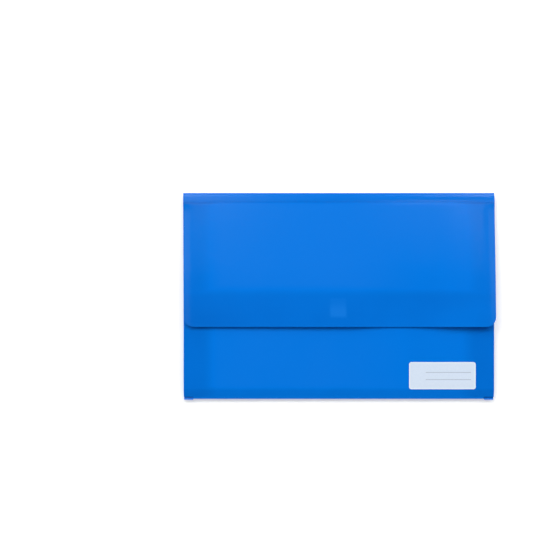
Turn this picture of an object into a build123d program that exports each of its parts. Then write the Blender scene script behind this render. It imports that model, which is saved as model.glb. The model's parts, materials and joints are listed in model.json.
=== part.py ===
"""Foolscap document wallet: one scored and folded blank of polypropylene sheet.

The wallet lies on its back. X runs along its width, +Y points from the base to the spine,
and Z is 0 at the underside of the back panel. Every fold is a bead of sheet on its own
crease axis, and every panel stops just short of the beads beside it. All the folding strips
have their two crease axes one fold width apart, so the base, the gussets and the spine fold
by the same angle while the front panel and the flap rise straight up. Where a fold closes
inwards its axis lies on the inner face of the sheet. The flap crease has its axis on the
outer face, so the flap folds right back. Lengths are in millimetres, angles in degrees.
"""

import os
from math import asin, cos, degrees, radians, sin, sqrt

from build123d import *

# The sheet and its scored creases
sheet = 0.6
crease_gap = 0.1
flap_crease_radius = 0.45
flap_crease_gap = 0.4
rest_fold = 17.0

# The panels of the blank
body_width = 368.0
flap_width = 370.0
back_height = 222.8
front_height = 119.0
flap_length = 148.0
flap_corner = 9.0
fold_width = 11.0
gusset_inset = 1.5

# The unfolded corner tabs of the base
tab_width = 11.0
tab_reach = 1.0
tab_clearance = 0.4

# The hook-and-loop fastener
fastener_width = 16.0
fastener_height = 22.0
fastener_corner = 1.2
fastener_shift = -2.3
fastener_to_flap_edge = 22.6
tape_backing = 0.4
hook_height = 0.6
loop_height = 0.6
fastener_gap = 0.15
hook_border = 0.7

# The stuck-on label and its ruled lines
label_width = 79.0
label_height = 32.2
label_corner = 2.7
label_thickness = 0.12
label_to_side = 21.0
label_to_crease = 0.7
rule_length = 53.7
rule_width = 0.45
rule_thickness = 0.04
rule_from_left = 19.7
rule_from_top = 12.3
rule_spacing = 8.5

# How far every cut runs past what it cuts
overrun = 1.0

# What follows from these sizes
crease_radius = sheet
crease_cut = crease_radius + crease_gap
flap_crease_cut = flap_crease_radius + flap_crease_gap
fold_run = fold_width * cos(radians(rest_fold))
fold_rise = fold_width * sin(radians(rest_fold))
inner_face_z = sheet
front_z = inner_face_z + 2 * fold_rise
front_top_z = front_z + sheet
edge_x = body_width / 2 - crease_radius

# The box of the whole wallet is centred between the base's tabs and the spine's edge
tab_end = crease_radius + tab_reach
base_overhang = fold_run + tab_end * cos(radians(rest_fold)) + sheet * sin(radians(rest_fold))
spine_overhang = fold_run + crease_radius
centre_shift = (base_overhang - spine_overhang) / 2
base_crease_y = centre_shift - back_height / 2
spine_crease_y = centre_shift + back_height / 2
mouth_y = base_crease_y + front_height

# Directions of the folded strips, seen from the side
fold_cos = cos(radians(rest_fold))
fold_sin = sin(radians(rest_fold))
base_edge = Vector(0, base_crease_y - fold_run, inner_face_z + fold_rise)
spine_edge = Vector(0, spine_crease_y + fold_run, inner_face_z + fold_rise)
flap_axis = Vector(0, spine_crease_y, front_z)

# A strip whose two axes lie on opposite faces of the sheet runs askew of the line between them
skew_run = sqrt(fold_width**2 - sheet**2)
skew_angle = rest_fold - degrees(asin(sheet / fold_width))
skew_cos = cos(radians(skew_angle))
skew_sin = sin(radians(skew_angle))

# The gussets run beside the front panel, from just above the base to the mouth
gusset_start_y = base_crease_y + gusset_inset
gusset_length = mouth_y - gusset_start_y
gusset_mid_y = (mouth_y + gusset_start_y) / 2
gusset_fold_x = edge_x - fold_run
gusset_fold_z = inner_face_z + fold_rise

# The flap rises from its crease just enough for the two halves of the fastener to meet
fastener_from_axis = flap_length - fastener_to_flap_edge
hook_thickness = tape_backing + hook_height
loop_thickness = tape_backing + loop_height
fastener_stack = loop_thickness + fastener_gap + hook_thickness
flap_rise = front_top_z + fastener_stack + sheet - flap_axis.Z
flap_lift = degrees(asin(flap_rise / (fastener_from_axis - fastener_height / 2)))
flap_normal = Vector(0, sin(radians(flap_lift)), cos(radians(flap_lift)))
flap_plane = Plane(origin=flap_axis, x_dir=(1, 0, 0), z_dir=flap_normal)
fastener_y = flap_axis.Y - fastener_from_axis * cos(radians(flap_lift))


def folded_strip(plane, low_face, far_axis, near_cut, half_length):
    """A strip of sheet between two creases. The plane's x runs along the sheet and its y is
    the sheet's normal. The near crease is at the plane's origin and the far one at far_axis."""
    with BuildPart() as strip:
        with BuildSketch(plane):
            with Locations((0, low_face)):
                Rectangle(far_axis[0], sheet, align=(Align.MIN, Align.MIN))
            Circle(near_cut, mode=Mode.SUBTRACT)
            with Locations(far_axis):
                Circle(crease_cut, mode=Mode.SUBTRACT)
        extrude(amount=half_length, both=True)
    return strip


def crease_bead(middle, along, radius, half_length):
    """The raised bead of one crease, round about its axis."""
    with BuildPart() as bead:
        with BuildSketch(Plane(origin=middle, z_dir=along)):
            Circle(radius)
        extrude(amount=half_length, both=True)
    return bead


def fastener_pad(plane, middle, border, thickness):
    """One layer of a fastener half, raised from the plane."""
    with BuildPart() as pad:
        with BuildSketch(plane):
            with Locations(middle):
                RectangleRounded(
                    fastener_width - 2 * border,
                    fastener_height - 2 * border,
                    fastener_corner,
                )
        extrude(amount=thickness)
    return pad


def write(piece, name):
    piece.part.label = name
    export_step(piece.part, f"parts/{name}.step")


os.makedirs("parts", exist_ok=True)

# Back panel: its lower sides fold into the gussets, its upper sides are cut edges
with BuildPart() as back_panel:
    with BuildSketch(Plane.XY):
        with Locations((0, base_crease_y)):
            Rectangle(body_width, back_height, align=(Align.CENTER, Align.MIN))
    extrude(amount=sheet)
    with BuildSketch(Plane.YZ):
        with Locations((base_crease_y, inner_face_z), (spine_crease_y, inner_face_z)):
            Circle(crease_cut)
    extrude(amount=body_width, both=True, mode=Mode.SUBTRACT)
    with BuildSketch(Plane.XZ.offset(-gusset_mid_y)):
        for side in (-1, 1):
            with Locations((side * edge_x, inner_face_z)):
                Circle(crease_cut)
            with Locations((side * (edge_x + crease_cut), inner_face_z)):
                Rectangle(2 * crease_cut, 2 * crease_cut)
    extrude(amount=gusset_length / 2 + crease_gap, both=True, mode=Mode.SUBTRACT)
write(back_panel, "back_panel")

# Front panel of the pocket, with a straight mouth
with BuildPart() as front_panel:
    with BuildSketch(Plane.XY.offset(front_z)):
        with Locations((0, base_crease_y)):
            Rectangle(2 * edge_x, front_height, align=(Align.CENTER, Align.MIN))
    extrude(amount=sheet)
    with BuildSketch(Plane.YZ):
        with Locations((base_crease_y, front_z)):
            Circle(crease_cut)
    extrude(amount=body_width, both=True, mode=Mode.SUBTRACT)
    with BuildSketch(Plane.XZ.offset(-gusset_mid_y)):
        with Locations((-edge_x, front_z), (edge_x, front_z)):
            Circle(crease_cut)
    extrude(amount=front_height, both=True, mode=Mode.SUBTRACT)
write(front_panel, "front_panel")

# Base: two strips that meet in an edge which points outwards
base_back_plane = Plane(
    origin=(0, base_crease_y, inner_face_z), x_dir=(0, -fold_cos, fold_sin), z_dir=(-1, 0, 0)
)
base_front_plane = Plane(
    origin=(0, base_crease_y, front_z), x_dir=(0, -fold_cos, -fold_sin), z_dir=(1, 0, 0)
)
tab_middle_x = (body_width - tab_width) / 2
tab_start = fold_width - 2 * crease_cut

with BuildPart() as base_back_strip:
    add(folded_strip(base_back_plane, -sheet, (fold_width, 0), crease_cut, body_width / 2).part)
    for side in (-1, 1):
        with BuildSketch(base_back_plane.offset(side * tab_middle_x)):
            with Locations((tab_start, -sheet)):
                Rectangle(fold_width + tab_end - tab_start, sheet, align=(Align.MIN, Align.MIN))
        extrude(amount=tab_width / 2, both=True)
write(base_back_strip, "base_back_strip")

notch_depth = tab_end + tab_clearance
with BuildPart() as base_front_strip:
    add(folded_strip(base_front_plane, -sheet, (fold_width, 0), crease_cut, body_width / 2).part)
    for side in (-1, 1):
        with BuildSketch(base_front_plane.offset(side * tab_middle_x)):
            with Locations((fold_width - notch_depth, 0)):
                Rectangle(notch_depth + overrun, 2 * (sheet + overrun), align=(Align.MIN, Align.CENTER))
        extrude(amount=tab_width / 2 + crease_gap, both=True, mode=Mode.SUBTRACT)
write(base_front_strip, "base_front_strip")

# Spine: two strips that meet in the wallet's top edge
spine_back_plane = Plane(
    origin=(0, spine_crease_y, inner_face_z), x_dir=(0, fold_cos, fold_sin), z_dir=(1, 0, 0)
)
spine_front_plane = Plane(origin=flap_axis, x_dir=(0, skew_cos, -skew_sin), z_dir=(-1, 0, 0))

spine_back_strip = folded_strip(spine_back_plane, -sheet, (fold_width, 0), crease_cut, flap_width / 2)
write(spine_back_strip, "spine_back_strip")

spine_front_strip = folded_strip(
    spine_front_plane, 0, (skew_run, sheet), flap_crease_cut, flap_width / 2
)
write(spine_front_strip, "spine_front_strip")

# Flap with rounded lower corners
with BuildPart() as flap_panel:
    with BuildSketch(flap_plane.offset(-sheet)) as flap_outline:
        Rectangle(flap_width, flap_length, align=(Align.CENTER, Align.MAX))
        fillet(flap_outline.vertices().group_by(Axis.Y)[0], flap_corner)
    extrude(amount=sheet)
    with BuildSketch(Plane.YZ):
        with Locations((flap_axis.Y, flap_axis.Z)):
            Circle(flap_crease_cut)
    extrude(amount=flap_width, both=True, mode=Mode.SUBTRACT)
write(flap_panel, "flap_panel")

# Creases across the width
tab_free_half = body_width / 2 - tab_width - crease_gap
across = (1, 0, 0)
width_creases = {
    "base_back_crease": ((0, base_crease_y, inner_face_z), crease_radius, body_width / 2),
    "base_edge_crease": (base_edge, crease_radius, tab_free_half),
    "base_front_crease": ((0, base_crease_y, front_z), crease_radius, body_width / 2),
    "spine_back_crease": ((0, spine_crease_y, inner_face_z), crease_radius, flap_width / 2),
    "spine_edge_crease": (spine_edge, crease_radius, flap_width / 2),
    "flap_crease": (flap_axis, flap_crease_radius, flap_width / 2),
}
for name, (middle, radius, half_length) in width_creases.items():
    write(crease_bead(middle, across, radius, half_length), name)

# Gussets: each folds inwards between the back panel and the front panel
upwards = (0, 1, 0)
for side_name, side in (("left", -1), ("right", 1)):
    back_plane = Plane(
        origin=(side * edge_x, gusset_mid_y, inner_face_z),
        x_dir=(-side * skew_cos, 0, skew_sin),
        z_dir=(0, side, 0),
    )
    front_plane = Plane(
        origin=(side * edge_x, gusset_mid_y, front_z),
        x_dir=(-side * skew_cos, 0, -skew_sin),
        z_dir=(0, -side, 0),
    )
    for half_name, half_plane in (("back", back_plane), ("front", front_plane)):
        gusset_half = folded_strip(half_plane, 0, (skew_run, sheet), crease_cut, gusset_length / 2)
        write(gusset_half, f"{side_name}_gusset_{half_name}")
    side_creases = {
        "back_crease": (side * edge_x, gusset_mid_y, inner_face_z),
        "inner_crease": (side * gusset_fold_x, gusset_mid_y, gusset_fold_z),
        "front_seam": (side * edge_x, gusset_mid_y, front_z),
    }
    for crease_name, middle in side_creases.items():
        bead = crease_bead(middle, upwards, crease_radius, gusset_length / 2)
        write(bead, f"{side_name}_gusset_{crease_name}")

# Fastener: loop tape on the front panel, hook tape under the flap
front_face = Plane.XY.offset(front_top_z)
loop_middle = (fastener_shift, fastener_y)
loop_tape = fastener_pad(front_face, loop_middle, 0, tape_backing)
write(loop_tape, "loop_tape")
loop_pile = fastener_pad(front_face.offset(tape_backing), loop_middle, 0, loop_height)
write(loop_pile, "loop_pile")

flap_underside = Plane(
    origin=flap_axis - flap_normal * sheet, x_dir=(1, 0, 0), z_dir=-flap_normal
)
hook_middle = (fastener_shift, fastener_from_axis)
hook_tape = fastener_pad(flap_underside, hook_middle, 0, tape_backing)
write(hook_tape, "hook_tape")
hook_field = fastener_pad(flap_underside.offset(tape_backing), hook_middle, hook_border, hook_height)
write(hook_field, "hook_field")

# Label: stuck to the front panel above the base crease, with two ruled lines
label_x = edge_x - label_to_side - label_width / 2
label_y = base_crease_y + label_to_crease + label_height / 2
with BuildPart() as label_sheet:
    with BuildSketch(front_face):
        with Locations((label_x, label_y)):
            RectangleRounded(label_width, label_height, label_corner)
    extrude(amount=label_thickness)
write(label_sheet, "label_sheet")

rule_x = label_x - label_width / 2 + rule_from_left + rule_length / 2
first_rule_y = label_y + label_height / 2 - rule_from_top
with BuildPart() as label_rules:
    with BuildSketch(front_face.offset(label_thickness)):
        with Locations((rule_x, first_rule_y), (rule_x, first_rule_y - rule_spacing)):
            Rectangle(rule_length, rule_width)
    extrude(amount=rule_thickness)
write(label_rules, "label_rules")
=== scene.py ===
"""Document wallet of folded blue polypropylene sheet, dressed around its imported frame.

The wallet lies on its back. X runs along its width to the label's side, Y from the base to the
spine, and Z up. Sizes are written in millimetres and turned to metres by MM.
"""
import json
import math

import bmesh
import bpy
import numpy as np
from mathutils import Matrix, Vector


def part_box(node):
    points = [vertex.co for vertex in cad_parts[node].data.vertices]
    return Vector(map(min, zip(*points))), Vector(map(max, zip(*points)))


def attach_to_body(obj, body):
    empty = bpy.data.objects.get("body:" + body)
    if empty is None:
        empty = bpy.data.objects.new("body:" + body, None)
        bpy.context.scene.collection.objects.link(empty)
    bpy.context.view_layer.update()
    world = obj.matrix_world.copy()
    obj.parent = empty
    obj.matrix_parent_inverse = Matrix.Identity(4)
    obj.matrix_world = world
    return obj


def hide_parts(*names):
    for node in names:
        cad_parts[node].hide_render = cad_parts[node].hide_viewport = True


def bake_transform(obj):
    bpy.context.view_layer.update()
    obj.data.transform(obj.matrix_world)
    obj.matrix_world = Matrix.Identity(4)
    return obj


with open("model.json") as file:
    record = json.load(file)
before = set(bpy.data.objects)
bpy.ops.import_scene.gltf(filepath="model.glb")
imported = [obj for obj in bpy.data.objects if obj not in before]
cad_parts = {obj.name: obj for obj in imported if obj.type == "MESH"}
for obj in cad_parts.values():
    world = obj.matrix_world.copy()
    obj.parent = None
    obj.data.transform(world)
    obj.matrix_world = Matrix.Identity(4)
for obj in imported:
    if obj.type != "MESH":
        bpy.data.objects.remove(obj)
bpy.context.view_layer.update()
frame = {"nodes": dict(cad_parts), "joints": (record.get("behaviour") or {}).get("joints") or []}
scene = bpy.context.scene

MM = 0.001
SHEET = 0.6 * MM

# The creases, from the frame's own joints
crease = {joint["name"]: np.array(joint["pos_m"]) for joint in frame["joints"]}
base_back_axis = crease["pocket_expand"]
base_edge_axis = crease["base_edge_fold"]
base_front_axis = crease["base_front_fold"]
spine_back_axis = crease["spine_back_fold"]
spine_edge_axis = crease["spine_edge_fold"]
flap_axis = crease["flap_open"]
body_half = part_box("base_back_strip")[1].x
flap_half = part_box("flap_panel")[1].x
mouth_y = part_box("front_panel")[1].y
front_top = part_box("front_panel")[1].z
fold_angle = math.atan2(base_edge_axis[2] - base_back_axis[2], base_back_axis[1] - base_edge_axis[1])


def linear(hex_colour):
    """A shader colour from an sRGB hex value."""
    channels = [int(hex_colour[i:i + 2], 16) / 255 for i in (1, 3, 5)]
    return [c / 12.92 if c <= 0.04045 else ((c + 0.055) / 1.055) ** 2.4 for c in channels] + [1.0]


def add_node(tree, kind, links=None, **settings):
    """One node with its settings. links gives each input a value, or the output that feeds it."""
    node = tree.nodes.new(kind)
    for name, value in settings.items():
        setattr(node, name, value)
    for name, value in (links or {}).items():
        if isinstance(value, bpy.types.NodeSocket):
            tree.links.new(value, node.inputs[name])
        else:
            node.inputs[name].default_value = value
    return node


def new_material(name, shader_inputs):
    """A material with one Principled shader, its tree, and the Object coordinates to draw on."""
    material = bpy.data.materials.new(name)
    material.use_nodes = True
    tree = material.node_tree
    tree.nodes.clear()
    shader = add_node(tree, "ShaderNodeBsdfPrincipled", shader_inputs)
    add_node(tree, "ShaderNodeOutputMaterial", {"Surface": shader.outputs["BSDF"]})
    place = add_node(tree, "ShaderNodeTexCoord").outputs["Object"]
    return material, tree, shader, place


def polypropylene_sheet(name, layers=None):
    """Extruded satin polypropylene sheet, its blue deepened by painted shade: a share from 0 to 1, which a
    piece carries as its own attribute if it isn't given here, standing in for light lost through the sheets
    behind it and for the shading of its folds and curves. A piece without that attribute gets none. A paler
    blue is painted as light where the white fastener lies behind.
    The fine embossed grain, 0.4 mm on the real sheet, is drawn at 1.2 mm so that it shows."""
    cloud_size = 70 * MM
    cloud_share = 0.14
    grain_size = 1.2 * MM
    grain_depth = 0.05 * MM
    material, tree, shader, place = new_material(name, {"IOR": 1.49, "Specular IOR Level": 0.3})
    # The share of painted shade, read from the piece's own attribute unless it is given
    if layers is None:
        layers = add_node(tree, "ShaderNodeAttribute", attribute_name="layers").outputs["Fac"]
    clouds = add_node(tree, "ShaderNodeTexNoise", {
        "Vector": place, "Scale": 1 / cloud_size, "Detail": 2.0}).outputs["Fac"]
    drift = add_node(tree, "ShaderNodeMapRange", {
        "Value": clouds, "To Min": -cloud_share, "To Max": cloud_share}).outputs["Result"]
    depth = add_node(tree, "ShaderNodeMath", {0: layers, 1: drift}, operation="ADD").outputs[0]
    # Painted shade picks a deeper blue from the ramp
    blues = add_node(tree, "ShaderNodeValToRGB", {"Fac": depth})
    stops = blues.color_ramp.elements
    stops[0].color = linear("#107BE6")
    stops[1].color = linear("#006ACF")
    stops.new(0.4).color = linear("#007AE6")
    # Painted light: a paler blue where the white fastener behind the sheet would send light back through it
    white_behind = add_node(tree, "ShaderNodeAttribute", attribute_name="white_behind").outputs["Fac"]
    colour = add_node(tree, "ShaderNodeMix", {
        "Factor": white_behind, "A": blues.outputs["Color"], "B": linear("#2691F6")}, data_type="RGBA")
    tree.links.new(colour.outputs["Result"], shader.inputs["Base Color"])
    grain = add_node(tree, "ShaderNodeTexNoise", {
        "Vector": place, "Scale": 1 / grain_size, "Detail": 2.0}).outputs["Fac"]
    satin = add_node(tree, "ShaderNodeMapRange", {
        "Value": grain, "From Min": 0.3, "From Max": 0.7, "To Min": 0.16, "To Max": 0.21})
    tree.links.new(satin.outputs["Result"], shader.inputs["Roughness"])
    emboss = add_node(tree, "ShaderNodeBump", {"Height": grain, "Strength": 0.25, "Distance": grain_depth})
    tree.links.new(emboss.outputs["Normal"], shader.inputs["Normal"])
    return material


def label_film():
    """Matt white printing film with a faint mottle. Its die-cut rim stays whiter, because there the
    adhesive stops short and the blue below doesn't show through."""
    rim_start = 1.7 * MM
    rim_white = 0.5 * MM
    mottle_size = 2.5 * MM
    tooth_depth = 0.05 * MM
    material, tree, shader, place = new_material(
        "matt_white_label_film", {"IOR": 1.5, "Specular IOR Level": 0.3, "Roughness": 0.48})
    low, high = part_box("label_sheet")
    centred = add_node(tree, "ShaderNodeMapping", {"Vector": place, "Location": -(low + high) / 2})
    outwards = add_node(tree, "ShaderNodeVectorMath", {0: centred.outputs[0]}, operation="ABSOLUTE")
    to_edge = add_node(tree, "ShaderNodeVectorMath", {
        0: outwards.outputs[0], 1: (high - low) / 2}, operation="SUBTRACT")
    sides = add_node(tree, "ShaderNodeSeparateXYZ", {0: to_edge.outputs[0]}).outputs
    nearest = add_node(tree, "ShaderNodeMath", {0: sides["X"], 1: sides["Y"]}, operation="MAXIMUM")
    rim = add_node(tree, "ShaderNodeMapRange", {
        "Value": nearest.outputs[0], "From Min": -rim_start, "From Max": -rim_white},
        interpolation_type="SMOOTHSTEP").outputs["Result"]
    mottle = add_node(tree, "ShaderNodeTexNoise", {
        "Vector": place, "Scale": 1 / mottle_size, "Detail": 3.0}).outputs["Fac"]
    face = add_node(tree, "ShaderNodeMix", {
        "Factor": mottle, "A": linear("#D7E5F9"), "B": linear("#E1EEFD")}, data_type="RGBA")
    colour = add_node(tree, "ShaderNodeMix", {
        "Factor": rim, "A": face.outputs["Result"], "B": linear("#F4FAFF")}, data_type="RGBA")
    tree.links.new(colour.outputs["Result"], shader.inputs["Base Color"])
    tooth = add_node(tree, "ShaderNodeBump", {"Height": mottle, "Strength": 0.05, "Distance": tooth_depth})
    tree.links.new(tooth.outputs["Normal"], shader.inputs["Normal"])
    return material


def printed_ink():
    """Grey printing ink: a thin line whose screen dots, 0.3 mm apart and drawn at 0.8 mm, break it up."""
    dot_size = 0.8 * MM
    material, tree, shader, place = new_material(
        "grey_printing_ink", {"IOR": 1.5, "Specular IOR Level": 0.3, "Roughness": 0.5})
    dots = add_node(tree, "ShaderNodeTexNoise", {
        "Vector": place, "Scale": 1 / dot_size, "Detail": 1.0}).outputs["Fac"]
    colour = add_node(tree, "ShaderNodeMix", {
        "Factor": dots, "A": linear("#8893AB"), "B": linear("#AAB5CA")}, data_type="RGBA")
    tree.links.new(colour.outputs["Result"], shader.inputs["Base Color"])
    return material


def woven_tape():
    """Narrow woven nylon tape: matt white threads over and under, 0.3 mm apart on the real tape and
    drawn at 0.8 mm so that they show."""
    thread_spacing = 0.8 * MM
    thread_depth = 0.1 * MM
    radians_per_scale = 20
    material, tree, shader, place = new_material("woven_nylon_tape", {
        "IOR": 1.53, "Specular IOR Level": 0.25, "Roughness": 0.75, "Sheen Weight": 0.2})
    scale = 2 * math.pi / (radians_per_scale * thread_spacing)
    warp = add_node(tree, "ShaderNodeTexWave", {"Vector": place, "Scale": scale}, bands_direction="X")
    weft = add_node(tree, "ShaderNodeTexWave", {"Vector": place, "Scale": scale}, bands_direction="Y")
    weave = add_node(tree, "ShaderNodeMath", {
        0: warp.outputs["Fac"], 1: weft.outputs["Fac"]}, operation="MULTIPLY").outputs[0]
    colour = add_node(tree, "ShaderNodeMix", {
        "Factor": weave, "A": linear("#C4CDDA"), "B": linear("#EEF2F8")}, data_type="RGBA")
    tree.links.new(colour.outputs["Result"], shader.inputs["Base Color"])
    threads = add_node(tree, "ShaderNodeBump", {"Height": weave, "Strength": 0.5, "Distance": thread_depth})
    tree.links.new(threads.outputs["Normal"], shader.inputs["Normal"])
    return material


def nylon_thread(name, rough, pale, deep):
    """White nylon, drawn into loops or moulded into hooks: a little translucent, so that it is uneven
    in tone from one thread to the next."""
    lot_size = 1.5 * MM
    material, tree, shader, place = new_material(name, {
        "IOR": 1.53, "Specular IOR Level": 0.35, "Roughness": rough, "Sheen Weight": 0.15})
    lots = add_node(tree, "ShaderNodeTexNoise", {
        "Vector": place, "Scale": 1 / lot_size, "Detail": 1.0}).outputs["Fac"]
    colour = add_node(tree, "ShaderNodeMix", {
        "Factor": lots, "A": linear(deep), "B": linear(pale)}, data_type="RGBA")
    tree.links.new(colour.outputs["Result"], shader.inputs["Base Color"])
    return material


# Finish of the solids that stay in sight: the back and the inner folds are painted a deeper blue as shade,
# and the back half of the base, which shows at its corner tabs, gets no painted shade
inner_fold_shade = 0.7
sheet_blue = polypropylene_sheet("polypropylene_sheet")
shaded_blue = polypropylene_sheet("polypropylene_inner_folds", inner_fold_shade)
tape_white = woven_tape()
loop_white = nylon_thread("napped_nylon_loops", 0.6, "#F4F6FA", "#D4DAE4")
hook_white = nylon_thread("moulded_nylon_hooks", 0.35, "#EEF1F6", "#CCD4E0")
node_finish = {
    "base_back_strip": sheet_blue, "label_sheet": label_film(), "label_rules": printed_ink(),
    "loop_tape": tape_white, "hook_tape": tape_white, "loop_pile": loop_white, "hook_field": hook_white,
}
for name, node in frame["nodes"].items():
    node.data.materials.clear()
    node.data.materials.append(node_finish.get(name, shaded_blue))


def smoothstep(low, high, value):
    """A smooth ramp from 0 at low to 1 at high. Either of them may be the greater."""
    t = np.clip((value - low) / (high - low), 0, 1)
    return t * t * (3 - 2 * t)


def direction(angle):
    """Unit vector in the YZ plane, its angle measured from +Y towards +Z."""
    return np.array([math.cos(angle), math.sin(angle)])


def new_piece(name, points, faces, layers):
    """A closed piece of sheet, with at each point a share of painted shade, from 0 to 1, that deepens its
    blue.
    """
    sharp_edge = math.radians(35)
    mesh = bpy.data.meshes.new(name)
    mesh.from_pydata([tuple(p) for p in points], [], [[int(i) for i in f] for f in faces])
    shell = bmesh.new()
    shell.from_mesh(mesh)
    bmesh.ops.recalc_face_normals(shell, faces=shell.faces)
    shell.to_mesh(mesh)
    shell.free()
    mesh.polygons.foreach_set("use_smooth", [True] * len(mesh.polygons))
    mesh.set_sharp_from_angle(angle=sharp_edge)
    behind = mesh.attributes.new("layers", "FLOAT", "POINT")
    behind.data.foreach_set("value", np.asarray(layers, dtype=np.float32))
    mesh.materials.append(sheet_blue)
    piece = bpy.data.objects.new(name, mesh)
    scene.collection.objects.link(piece)
    return piece


def closed_sheet(name, outer, inner, outer_shade, inner_shade):
    """A closed piece between two grids of points, the outer and the inner face of one sheet. Its cut
    edge is slightly round."""
    edge_bulge = 0.1 * MM
    rows, columns = outer.shape[:2]
    index = np.arange(rows * columns).reshape(rows, columns)
    rim = [(0, c) for c in range(columns)]
    rim += [(r, columns - 1) for r in range(1, rows)]
    rim += [(rows - 1, c) for c in range(columns - 2, -1, -1)]
    rim += [(r, 0) for r in range(rows - 2, 0, -1)]
    middles = []
    for r, c in rim:
        outwards = outer[r, c] - outer[min(max(r, 1), rows - 2), min(max(c, 1), columns - 2)]
        middle = (outer[r, c] + inner[r, c]) / 2
        middles.append(middle + outwards / np.linalg.norm(outwards) * edge_bulge)
    points = np.concatenate([outer.reshape(-1, 3), inner.reshape(-1, 3), np.array(middles)])
    inner_start = rows * columns
    middle_start = 2 * inner_start
    faces = []
    for r in range(rows - 1):
        for c in range(columns - 1):
            quad = [index[r, c], index[r, c + 1], index[r + 1, c + 1], index[r + 1, c]]
            faces.append(quad)
            faces.append([inner_start + i for i in reversed(quad)])
    for k, corner in enumerate(rim):
        following = (k + 1) % len(rim)
        a = index[corner]
        b = index[rim[following]]
        faces.append([b, a, middle_start + k, middle_start + following])
        faces.append([middle_start + following, middle_start + k, inner_start + a, inner_start + b])
    # The painted shade of each face, and of the cut edge as on the outer face
    outer_shade = np.broadcast_to(outer_shade, (rows, columns))
    inner_shade = np.broadcast_to(inner_shade, (rows, columns))
    rim_shade = [outer_shade[corner] for corner in rim]
    layers = np.concatenate([outer_shade.ravel(), inner_shade.ravel(), rim_shade])
    return new_piece(name, points, faces, layers)


def swept(profile, normals, stations):
    """A grid of points: each point of a YZ profile, moved along its own normal by each station's rise."""
    grid = np.zeros((len(profile), len(stations), 3))
    for j, (x, rise) in enumerate(stations):
        grid[:, j, 0] = x
        grid[:, j, 1:] = profile + normals * rise
    return grid


def attach(piece, body, slot, *nodes):
    """Puts a piece on its body, in place of the solids that it dresses. The slot is not used."""
    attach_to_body(piece, body)
    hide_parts(*nodes)


# The front of the pocket rolls down at both sides, round the seams with the gussets
roll_start = 168 * MM
roll_inset = 0.4 * MM
roll_end = body_half - roll_inset
roll_drop = 0.25 * MM
roll_radius = 1.0 * MM
roll_turn = math.radians(65)


def front_stations():
    """Cross-section of the front: (x, rise) on its outer face and on its inner face."""
    drop_steps = 9
    turn_steps = 8
    flat_steps = 87
    steps = np.linspace(roll_start, roll_end, drop_steps)
    share = (steps - roll_start) / (roll_end - roll_start)
    tilt = np.arctan(2 * roll_drop * share / (roll_end - roll_start))
    path = list(zip(steps, -roll_drop * share ** 2, tilt))
    first = tilt[-1]
    for turn in np.linspace(first, roll_turn, turn_steps)[1:]:
        x = roll_end + roll_radius * (math.sin(turn) - math.sin(first))
        rise = -roll_drop + roll_radius * (math.cos(turn) - math.cos(first))
        path.append((x, rise, turn))
    flat = [(x, 0.0, 0.0) for x in np.linspace(-roll_start, roll_start, flat_steps)[1:-1]]
    whole = [(-x, rise, -turn) for x, rise, turn in reversed(path)] + flat + path
    outer = [(x, rise) for x, rise, turn in whole]
    inner = [(x - SHEET * math.sin(turn), rise - SHEET * math.cos(turn)) for x, rise, turn in whole]
    return outer, inner


def side_shade_mask(x):
    """How much painted shade the front's sides get: 1 by the edges over the folded gusset, fading out
    towards the middle.
    """
    fade_start = 142 * MM
    fade_end = 163 * MM
    return smoothstep(fade_start, fade_end, np.abs(x))


outer_stations, inner_stations = front_stations()
base_roll_reach = 4 * MM

# Painted shade on the front, as shares that deepen its blue: all over, for the back of the pocket behind
# it, more at the sides over a gusset and along the base, and a little more on the label's side.
pocket_shade = 0.26
gusset_shade = 0.5
base_shade = 0.22
label_side_shade = 0.12
label_side_zone = (10 * MM, 90 * MM)

# Front panel of the pocket, a little wavy along its mouth
mouth_zone = 30 * MM
panel_rows = 18
mouth_rows = 14
front_rows = np.concatenate([
    np.linspace(base_front_axis[1] + base_roll_reach, mouth_y - mouth_zone, panel_rows),
    np.linspace(mouth_y - mouth_zone, mouth_y, mouth_rows)[1:],
])
front_profile = np.stack([front_rows, np.full(len(front_rows), front_top)], axis=1)
upright = np.tile([0.0, 1.0], (len(front_rows), 1))
front_outer = swept(front_profile, upright, outer_stations)
front_inner = swept(front_profile, upright, inner_stations)
wave_height = 0.35 * MM
wave_start = 14 * MM
wave_length = 154 * MM
wave_reach = 28 * MM
for grid in (front_outer, front_inner):
    from_middle = np.clip((np.abs(grid[..., 0]) - wave_start) / wave_length, 0, 1)
    near_mouth = smoothstep(mouth_y - wave_reach, mouth_y, grid[..., 1])
    grid[..., 2] += wave_height * near_mouth * np.sin(math.pi * from_middle) ** 2
front_x = front_outer[..., 0]
label_side = smoothstep(*label_side_zone, front_x)
# Painted shade on the front's outer face
front_shade = pocket_shade + gusset_shade * side_shade_mask(front_x)
front_shade += label_side_shade * label_side * (1 - side_shade_mask(front_x))
pocket_front = closed_sheet("pocket_front", front_outer, front_inner, front_shade, pocket_shade)
attach(pocket_front, "front", "sheet", "front_panel", "left_gusset_front_seam", "right_gusset_front_seam")

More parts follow.
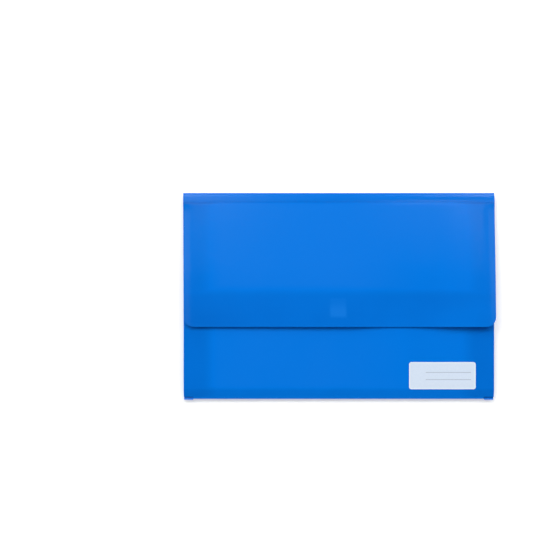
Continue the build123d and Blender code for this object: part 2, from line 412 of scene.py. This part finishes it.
# Front half of the base: the front bends into it in a soft roll, which flattens out towards the edge
base_roll_radius = 14 * MM
base_roll_steps = 9
strip_length = 9 * MM
half_tangent = math.tan(fold_angle / 2)
corner_y = base_front_axis[1] - SHEET * half_tangent
roll_profile = [(base_front_axis[1] + base_roll_reach, front_top, 0.0)]
for turn in np.linspace(0, fold_angle, base_roll_steps):
    y = corner_y + base_roll_radius * (half_tangent - math.sin(turn))
    z = front_top - base_roll_radius * (1 - math.cos(turn))
    roll_profile.append((y, z, turn))
strip_end = base_front_axis[1:] - strip_length * direction(fold_angle)
strip_end = strip_end + SHEET * direction(fold_angle + math.pi / 2)
roll_profile.append((strip_end[0], strip_end[1], fold_angle))
roll_points = np.array([(y, z) for y, z, turn in roll_profile])
roll_normals = np.array([(-math.sin(turn), math.cos(turn)) for y, z, turn in roll_profile])
roll_outer = swept(roll_points, roll_normals, outer_stations)
roll_inner = swept(roll_points, roll_normals, inner_stations)
# At the end of the strip only this share of the sides' roll is left, which keeps it off the corner tabs
end_roll_share = 0.2
for grid, depth in ((roll_outer, 0.0), (roll_inner, -SHEET)):
    flat_end = swept(roll_points[-1:], roll_normals[-1:], [(x, depth) for x, rise in outer_stations])
    grid[-1] += (1 - end_roll_share) * (flat_end[0] - grid[-1])
# Painted shade on the roll: as on the front at its sides, and deeper along the base strip
roll_shade = pocket_shade + gusset_shade * side_shade_mask(roll_outer[..., 0])
roll_shade[1:] += base_shade * (1 - side_shade_mask(roll_outer[1:, :, 0]))
base_roll = closed_sheet("base_roll", roll_outer, roll_inner, roll_shade, pocket_shade)
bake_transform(base_roll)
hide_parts("base_front_strip", "base_front_crease")

# How far a crease's skin stands proud of the strips beside it and runs onto them, how near its inner face
# comes to the axis, and half the width of its blend
crease_proud = 0.03 * MM
over_strip = 2 * MM
crease_core = 0.04 * MM


def round_fold(name, axis, first, last, reaches, half_length, node):
    """The skin of one crease, round about its axis. first and last are the directions of the outward
    normals of the two panels it joins, and reaches how far it runs along each of them."""
    turn_steps = 13
    length_steps = 25
    sense = math.copysign(1.0, last - first)
    profile = [(turn, 0.0) for turn in np.linspace(first, last, turn_steps)]
    if reaches[0]:
        profile.insert(0, (first, -sense * reaches[0]))
    if reaches[1]:
        profile.append((last, sense * reaches[1]))
    lines = []
    for radius in (SHEET + crease_proud, crease_core):
        lines.append(np.array([
            axis[1:] + radius * direction(turn) + run * direction(turn + math.pi / 2)
            for turn, run in profile
        ]))
    stations = [(x, 0.0) for x in np.linspace(-half_length, half_length, length_steps)]
    still = np.zeros_like(lines[0])
    outer = swept(lines[0], still, stations)
    inner = swept(lines[1], still, stations)
    piece = closed_sheet(name, outer, inner, pocket_shade, pocket_shade)
    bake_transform(piece)
    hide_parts(node)


# Edge of the base, between the corner tabs, and the crease that joins the base to the back
downwards = -math.pi / 2
round_fold(
    "base_edge_fold", base_edge_axis, downwards - fold_angle, downwards - math.pi + fold_angle,
    (over_strip, over_strip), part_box("base_edge_crease")[1].x,
    "base_edge_crease",
)
round_fold(
    "base_back_fold", base_back_axis, downwards, downwards - fold_angle,
    (over_strip, over_strip), body_half, "base_back_crease",
)

# The score line pressed along the flap crease, shallower on the spine's side
groove_steps = np.array([0.35, 0.6, 0.9, 1.3, 1.8]) * MM
groove_depth = 0.12 * MM
groove_floor = 0.1 * MM
groove_width = 2.6 * MM
spine_groove_share = 1 / 3
bevel_slope = 1.0


def groove(distance):
    """How deep the score line is, at a distance from the crease."""
    return groove_depth * (1 - smoothstep(groove_floor, groove_width, distance))


def inner_depth(distance):
    """How deep the sheet's inner face is: bevelled beside the crease, to leave room for the fold."""
    return np.minimum(SHEET, bevel_slope * distance)


# Front half of the spine: it swells a little between the flap crease and the wallet's top edge
spine_bow = math.radians(9)
# The spine and the crease's web are painted a deeper blue as shade, darker than their tilt towards the
# lamps leaves them
spine_shade = 0.72
spine_rows = 12
spine_columns = 61
spine_line = spine_edge_axis[1:] - flap_axis[1:]
spine_slope = -math.atan2(spine_line[1], spine_line[0]) - math.asin(SHEET / np.linalg.norm(spine_line))
edge_turn = math.pi / 2 - spine_slope - spine_bow
spine_foot = spine_edge_axis[1:] + (SHEET + crease_proud) * direction(edge_turn)
chord = spine_foot - flap_axis[1:]
chord_length = np.linalg.norm(chord)
chord_angle = math.atan2(chord[1], chord[0])
bow_radius = chord_length / (2 * math.sin(spine_bow))
spine_steps = np.concatenate([groove_steps, np.linspace(groove_width, chord_length, spine_rows)])
spine_bends = np.arcsin((spine_steps - chord_length / 2) / bow_radius)
spine_swell = bow_radius * (np.cos(spine_bends) - math.cos(spine_bow))
spine_points = (
    flap_axis[1:] + spine_steps[:, None] * direction(chord_angle)
    + spine_swell[:, None] * direction(chord_angle + math.pi / 2)
)
spine_normals = np.array([direction(chord_angle + math.pi / 2 - bend) for bend in spine_bends])
spine_groove = spine_groove_share * groove(spine_steps)
still = np.zeros_like(spine_points)
spine_stations = [(x, 0.0) for x in np.linspace(-flap_half, flap_half, spine_columns)]
spine_outer = swept(spine_points - spine_normals * spine_groove[:, None], still, spine_stations)
spine_inner = swept(spine_points - spine_normals * inner_depth(spine_steps)[:, None], still, spine_stations)
spine_top = closed_sheet("spine_top", spine_outer, spine_inner, spine_shade, spine_shade)
attach(spine_top, "spine_front", "sheet", "spine_front_strip")
round_fold(
    "spine_edge_fold", spine_edge_axis, downwards + fold_angle, edge_turn,
    (over_strip, 0), flap_half, "spine_edge_crease",
)
round_fold(
    "spine_back_fold", spine_back_axis, downwards, downwards + fold_angle,
    (over_strip, over_strip), flap_half, "spine_back_crease",
)

# Flap: held down by the fastener in the middle, lifting at its right corner
flap_length = 148 * MM
flap_corner = 11.5 * MM
flap_skew = 0.8 * MM
# Plain painted shade on the flap's underside
flap_inner_shade = 0.3
flap_lift = math.asin((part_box("flap_panel")[1].z - flap_axis[2]) / flap_length)
# How far its lower edge stands off its plane: (x, rise), then smoothed
lower_edge = np.array([
    (-190, -0.6), (-160, -0.7), (-129, -0.5), (-100, -0.3), (-60, 0.0), (-30, 0.2), (14, 0.2), (45, -1.2),
    (60, -1.8), (75, -1.8), (95, -1.3), (120, 0.2), (138, 1.4), (156, 2.4), (172, 3.0), (190, 3.3),
]) * MM
edge_reach = 190
window_steps = 25
edge_x = np.arange(-edge_reach, edge_reach + 1) * MM
edge_rise = np.interp(edge_x, lower_edge[:, 0], lower_edge[:, 1])
window = np.hanning(window_steps)
edge_rise = np.convolve(np.pad(edge_rise, window_steps // 2, mode="edge"), window / window.sum(), "valid")


def flap_rise(x, along):
    """How far the flap's sheet stands off its own plane, at x and at a distance along from its crease. It
    sags on the pocket, bulges where it passes the mouth, and curls down at its sides, but not by the
    crease."""
    sag_start = 66 * MM
    bulge = 0.2 * MM
    bulge_middle = 86 * MM
    bulge_width = 20 * MM
    curl_drop = 1.2 * MM
    curl_start = 171 * MM
    curl_width = 14 * MM
    curl_full = 12 * MM
    edge = np.interp(x, edge_x, edge_rise)
    share = along / flap_length
    lifted = np.maximum(edge, 0) * share * (2 - share ** 2)
    sagging = np.minimum(edge, 0) * smoothstep(sag_start, flap_length, along)
    over_mouth = bulge * np.exp(-((along - bulge_middle) / bulge_width) ** 2)
    curl = -curl_drop * np.clip((np.abs(x) - curl_start) / curl_width, 0, 1) ** 2
    return lifted + sagging + over_mouth + curl * smoothstep(0, curl_full, along)


corner_steps = 11
flap_rows = 64
corner_turns = np.linspace(0, math.pi / 2, corner_steps)
flap_steps = np.concatenate([
    groove_steps,
    np.linspace(groove_width, flap_length - flap_corner, flap_rows)[:-1],
    flap_length - flap_corner * (1 - np.sin(corner_turns)),
])
into_corner = np.clip((flap_steps - flap_length) / flap_corner + 1, 0, 1)
flap_reach = flap_half - flap_corner * (1 - np.sqrt(1 - into_corner ** 2))
side_columns = np.array([177.5, 179, 180.5, 182, 183.2, 184.2, 185]) * MM / flap_half
middle_columns = np.linspace(-176, 176, 111) * MM / flap_half
flap_columns = np.concatenate([-side_columns[::-1], middle_columns, side_columns])
flap_x = flap_reach[:, None] * flap_columns
flap_along = np.repeat(flap_steps[:, None], len(flap_columns), axis=1)
flap_height = flap_rise(flap_x, flap_along)
flap_x = flap_x + flap_skew * flap_along / flap_length


def on_flap(depth):
    """The flap's points, at a depth below its upper face."""
    height = flap_height - depth
    return np.stack([
        flap_x,
        flap_axis[1] - flap_along * math.cos(flap_lift) + height * math.sin(flap_lift),
        flap_axis[2] + flap_along * math.sin(flap_lift) + height * math.cos(flap_lift),
    ], axis=2)


def flap_painted_shade(points):
    """Painted shade on the flap, standing in for light lost through the sheets behind it: the gussets'
    edges, and the front of the pocket below its mouth, which shows less where the right corner lifts. The
    right side is painted a little darker as shade, the strip beside the crease darker as crease shade, and
    the cut edge paler as a painted highlight. Each zone runs from where its share starts to where it is
    full."""
    single_share = 0.1
    side_share, side_zone = 0.52, (134 * MM, 168 * MM)
    front_share, front_zone = 0.72, (mouth_y + 11 * MM, mouth_y - 9 * MM)
    lifted_share, lifted_zone = 0.2, (105 * MM, 142 * MM)
    right_share, right_zone, lower_zone = 0.28, (0, 110 * MM), (30 * MM, 85 * MM)
    crease_share, crease_zone = 0.4, (3.2 * MM, 1.2 * MM)
    cut_share, cut_zone = 0.3, (1.6 * MM, 0)
    x = points[..., 0]
    y = points[..., 1]
    sides = side_share * smoothstep(*side_zone, np.abs(x))
    lifted = lifted_share * smoothstep(*lifted_zone, flap_along) * x / flap_half
    over_front = smoothstep(*front_zone, y) * (front_share - lifted)
    right = right_share * smoothstep(*right_zone, x) * smoothstep(*lower_zone, flap_along)
    crease_shade = crease_share * smoothstep(*crease_zone, flap_along)
    cut_edge_highlight = cut_share * smoothstep(*cut_zone, flap_length - flap_along)
    return np.maximum(single_share + np.maximum(sides, right), over_front) + crease_shade - cut_edge_highlight


def painted_fastener_patch(points):
    """Painted light: how much paler the flap is painted where the white fastener behind it would send light
    back through the sheet, blurred and stronger at its lower end.
    """
    shift = 1.5 * MM
    side_blur = 3 * MM
    end_blur = 1.2 * MM
    upper_share = 0.1
    lower_share = 0.18
    lower_start = 7 * MM
    lower_full = -3 * MM
    low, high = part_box("hook_tape")
    middle = (low + high) / 2
    half = (high - low) / 2
    x_off = np.abs(points[:, 0] - middle.x - shift)
    y_off = points[:, 1] - middle.y
    patch = smoothstep(half.x + side_blur, half.x, x_off)
    patch = patch * smoothstep(half.y + end_blur, half.y - end_blur, np.abs(y_off))
    return patch * (upper_share + lower_share * smoothstep(lower_start, lower_full, y_off))


flap_outer = on_flap(groove(flap_along))
flap_inner = on_flap(inner_depth(flap_along))
# The flap carries its painted shade and highlight, and its underside the plain share
flap_sheet = closed_sheet("flap_sheet", flap_outer, flap_inner, flap_painted_shade(flap_outer), flap_inner_shade)
flap_points = np.array([vertex.co for vertex in flap_sheet.data.vertices])
# The flap's paler painted patch, as light from the white fastener behind it
show_through_light = flap_sheet.data.attributes.new("white_behind", "FLOAT", "POINT")
show_through_light.data.foreach_set("value", painted_fastener_patch(flap_points).astype(np.float32))
attach(flap_sheet, "flap", "sheet", "flap_panel")

# The thin web left at the bottom of the score line joins the flap to the spine. It is an arc about the
# flap's axis, so it stays between them as the flap turns.
web_radius = 0.32 * MM
web_inner_radius = 0.15 * MM
web_turns = np.radians(np.linspace(205, 335, 9))
web_steps = 25
web_ring = [flap_axis[1:] + web_radius * direction(turn) for turn in web_turns]
web_ring += [flap_axis[1:] + web_inner_radius * direction(turn) for turn in reversed(web_turns)]
web_stations = np.linspace(-flap_half, flap_half, web_steps)
web_points = [(x, y, z) for x in web_stations for y, z in web_ring]
ring = len(web_ring)
last_ring = (len(web_stations) - 1) * ring
web_faces = [list(range(ring)), [last_ring + k for k in range(ring)]]
for start in range(0, last_ring, ring):
    for k in range(ring):
        following = (k + 1) % ring
        web_faces.append([start + k, start + following, start + ring + following, start + ring + k])
crease_web = new_piece("crease_web", web_points, web_faces, [spine_shade] * len(web_points))
attach(crease_web, "flap", "sheet", "flap_crease")


# Fastener: a field of nylon loops on the pocket, and one of hooks under the flap
def fastener_field():
    """Geometry nodes that stand one bent thread on each point of a scattered grid."""
    tree = bpy.data.node_groups.new("fastener_field", "GeometryNodeTree")
    for name, kind in (
        ("Width", "Float"), ("Length", "Float"), ("Columns", "Int"), ("Rows", "Int"), ("Bend", "Vector"),
        ("Tip", "Vector"), ("Thread Radius", "Float"), ("Scatter", "Float"), ("Turn", "Float"),
        ("Seed", "Int"), ("Finish", "Material"),
    ):
        tree.interface.new_socket(name, in_out="INPUT", socket_type="NodeSocket" + kind)
    tree.interface.new_socket("Geometry", in_out="OUTPUT", socket_type="NodeSocketGeometry")
    given = add_node(tree, "NodeGroupInput").outputs
    path = add_node(tree, "GeometryNodeCurveQuadraticBezier", {
        "Resolution": 6, "Start": (0, 0, 0), "Middle": given["Bend"], "End": given["Tip"]})
    section = add_node(tree, "GeometryNodeCurvePrimitiveCircle", {
        "Resolution": 4, "Radius": given["Thread Radius"]})
    thread = add_node(tree, "GeometryNodeCurveToMesh", {
        "Curve": path.outputs["Curve"], "Profile Curve": section.outputs["Curve"], "Fill Caps": True})
    grid = add_node(tree, "GeometryNodeMeshGrid", {
        "Size X": given["Width"], "Size Y": given["Length"],
        "Vertices X": given["Columns"], "Vertices Y": given["Rows"]})
    wander = add_node(tree, "FunctionNodeRandomValue", {
        "Min": (-1, -1, 0), "Max": (1, 1, 0), "Seed": given["Seed"]}, data_type="FLOAT_VECTOR")
    offset = add_node(tree, "ShaderNodeVectorMath", {
        0: wander.outputs["Value"], "Scale": given["Scatter"]}, operation="SCALE")
    roots = add_node(tree, "GeometryNodeSetPosition", {
        "Geometry": grid.outputs["Mesh"], "Offset": offset.outputs[0]})
    facing = add_node(tree, "FunctionNodeRandomValue", {
        "Min": (0, 0, -1), "Max": (0, 0, 1), "Seed": given["Seed"]}, data_type="FLOAT_VECTOR")
    angles = add_node(tree, "ShaderNodeVectorMath", {
        0: facing.outputs["Value"], "Scale": given["Turn"]}, operation="SCALE")
    turned = add_node(tree, "FunctionNodeEulerToRotation", {"Euler": angles.outputs[0]})
    field = add_node(tree, "GeometryNodeInstanceOnPoints", {
        "Points": roots.outputs["Geometry"], "Instance": thread.outputs["Mesh"],
        "Rotation": turned.outputs["Rotation"]})
    whole = add_node(tree, "GeometryNodeRealizeInstances", {"Geometry": field.outputs["Instances"]})
    dressed = add_node(tree, "GeometryNodeSetMaterial", {
        "Geometry": whole.outputs["Geometry"], "Material": given["Finish"]})
    add_node(tree, "NodeGroupOutput", {"Geometry": dressed.outputs["Geometry"]})
    return tree


def fastener_half(name, tree, place, **inputs):
    """One half of the fastener, as a plain mesh moved to its place."""
    piece = bpy.data.objects.new(name, bpy.data.meshes.new(name))
    scene.collection.objects.link(piece)
    modifier = piece.modifiers.new("field", "NODES")
    modifier.node_group = tree
    for socket in tree.interface.items_tree:
        if socket.in_out == "INPUT":
            modifier[socket.identifier] = inputs[socket.name.lower().replace(" ", "_")]
    depsgraph = bpy.context.evaluated_depsgraph_get()
    mesh = bpy.data.meshes.new_from_object(piece.evaluated_get(depsgraph), depsgraph=depsgraph)
    piece.modifiers.remove(modifier)
    mesh.transform(place)
    mesh.name = name
    piece.data = mesh
    return piece


pad_width = 15 * MM
pad_length = 21 * MM
pile_height = 0.6 * MM
thread_radius = 0.07 * MM
thread_rise = pile_height - 2 * thread_radius
loop_span = 0.7 * MM
hook_reach = 0.4 * MM
hook_bend_share = 1.75
hook_tip_share = 0.45
field_tree = fastener_field()
loop_low, loop_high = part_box("loop_pile")
loop_root = (loop_low + loop_high) / 2
loop_root.z = loop_low.z + thread_radius
loops = fastener_half(
    "fastener_loops", field_tree, Matrix.Translation(loop_root),
    width=pad_width, length=pad_length, columns=20, rows=28, thread_radius=thread_radius,
    bend=(loop_span / 2, 0, 2 * thread_rise), tip=(loop_span, 0, 0),
    scatter=0.25 * MM, turn=math.pi, seed=4, finish=loop_white,
)
attach(loops, "front", "loop_pile", "loop_pile")
hook_low, hook_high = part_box("hook_field")
below_flap = Vector((0, -math.sin(flap_lift), -math.cos(flap_lift)))
hook_root = (hook_low + hook_high) / 2 - below_flap * (pile_height / 2 - thread_radius)
upside_down = Matrix.Rotation(math.pi - flap_lift, 4, "X")
hooks = fastener_half(
    "fastener_hooks", field_tree, Matrix.Translation(hook_root) @ upside_down,
    width=pad_width, length=pad_length, columns=17, rows=24, thread_radius=thread_radius,
    bend=(0, 0, hook_bend_share * thread_rise), tip=(hook_reach, 0, hook_tip_share * thread_rise),
    scatter=0.04 * MM, turn=0.15, seed=9, finish=hook_white,
)
attach(hooks, "flap", "hook_field", "hook_field")


def white_floor():
    """A white paper sweep, which the camera and any gloss see as white. It glows less near the wallet, so
    that it keeps the wallet's shadow."""
    reach = 20.0
    below = -0.1 * MM
    glow_near = 0.35
    near = 0.45
    far = 1.4
    mesh = bpy.data.meshes.new("floor")
    corners = [(-reach, -reach), (reach, -reach), (reach, reach), (-reach, reach)]
    mesh.from_pydata([(x, y, below) for x, y in corners], [], [(0, 1, 2, 3)])
    material = bpy.data.materials.new("white_paper_sweep")
    material.use_nodes = True
    tree = material.node_tree
    tree.nodes.clear()
    ray = add_node(tree, "ShaderNodeLightPath").outputs
    mirrored = add_node(tree, "ShaderNodeMath", {
        0: ray["Is Glossy Ray"], 1: ray["Is Transmission Ray"]}, operation="MAXIMUM").outputs[0]
    seen = add_node(tree, "ShaderNodeMath", {
        0: ray["Is Camera Ray"], 1: mirrored}, operation="MAXIMUM").outputs[0]
    place = add_node(tree, "ShaderNodeTexCoord").outputs["Object"]
    away = add_node(tree, "ShaderNodeVectorMath", {0: place}, operation="LENGTH").outputs["Value"]
    bright = add_node(tree, "ShaderNodeMapRange", {
        "Value": away, "From Min": near, "From Max": far,
        "To Min": glow_near, "To Max": 1.0}).outputs["Result"]
    lift = add_node(tree, "ShaderNodeMath", {0: seen, 1: bright}, operation="MULTIPLY").outputs[0]
    paper = add_node(tree, "ShaderNodeBsdfDiffuse", {"Color": linear("#F4F4F4")})
    glow = add_node(tree, "ShaderNodeEmission", {"Strength": lift})
    both = add_node(tree, "ShaderNodeAddShader", {0: paper.outputs[0], 1: glow.outputs[0]})
    add_node(tree, "ShaderNodeOutputMaterial", {"Surface": both.outputs[0]})
    mesh.materials.append(material)
    floor = bpy.data.objects.new("floor", mesh)
    scene.collection.objects.link(floor)


def studio_walls():
    """White walls up to a low height and a dark ceiling, so that the sheet shows no glare from above."""
    wall_top = 0.25
    ceiling_start = 0.45
    ceiling_light = 0.03
    world = bpy.data.worlds.new("studio")
    scene.world = world
    world.use_nodes = True
    tree = world.node_tree
    tree.nodes.clear()
    upwards = add_node(tree, "ShaderNodeTexCoord").outputs["Generated"]
    height = add_node(tree, "ShaderNodeSeparateXYZ", {0: upwards}).outputs["Z"]
    wall = add_node(tree, "ShaderNodeMapRange", {
        "Value": height, "From Min": wall_top, "From Max": ceiling_start,
        "To Min": 1.0, "To Max": ceiling_light}).outputs["Result"]
    walls = add_node(tree, "ShaderNodeBackground", {"Color": wall})
    add_node(tree, "ShaderNodeOutputWorld", {"Surface": walls.outputs[0]})


def softbox(name, place, size, share, aim=(0, 0, 0)):
    """A soft lamp that faces a point by the wallet and gives this share of the plain light level there."""
    place = Vector(place)
    facing = Vector(aim) - place
    lamp = bpy.data.lights.new(name, "AREA")
    lamp.shape = "RECTANGLE"
    lamp.size, lamp.size_y = size
    # An irradiance of pi is the plain level, at which a matt colour renders as it is written
    lamp.energy = math.pi ** 2 * share * facing.length ** 3 / place.z
    lamp_object = bpy.data.objects.new(name, lamp)
    lamp_object.location = place
    lamp_object.rotation_euler = facing.to_track_quat("-Z", "Y").to_euler()
    scene.collection.objects.link(lamp_object)


# Two large lamps behind, a long one low in front, and four weak ones overhead for the sheet's soft blooms
white_floor()
studio_walls()
softbox("softbox_left", (-1.4, 1.9, 1.9), (2.1, 1.7), 0.42)
softbox("softbox_right", (1.6, 1.85, 1.85), (2.1, 1.7), 0.315)
softbox("softbox_low", (0.1, -2.0, 0.7), (3.2, 1.0), 0.125)
softbox("overhead_left", (-0.32, 0.8, 2.0), (0.25, 1.0), 0.028, aim=(-0.32, 0, 0))
softbox("overhead_right", (0.39, 0.64, 2.0), (0.25, 0.45), 0.018, aim=(0.39, 0, 0))
softbox("side_left", (-0.75, 0.32, 1.8), (0.6, 0.4), 0.02)
softbox("side_right", (0.98, 0.32, 1.8), (0.6, 0.4), 0.015)

# Camera: straight above, as the photograph was taken
camera_place = (-69.9 * MM, 19.5 * MM, 1508 * MM)
camera_data = bpy.data.cameras.new("camera")
camera_data.sensor_width = 36
camera_data.lens = 81.24
camera = bpy.data.objects.new("camera", camera_data)
camera.location = camera_place
scene.collection.objects.link(camera)
scene.camera = camera
scene.view_settings.view_transform = "Standard"
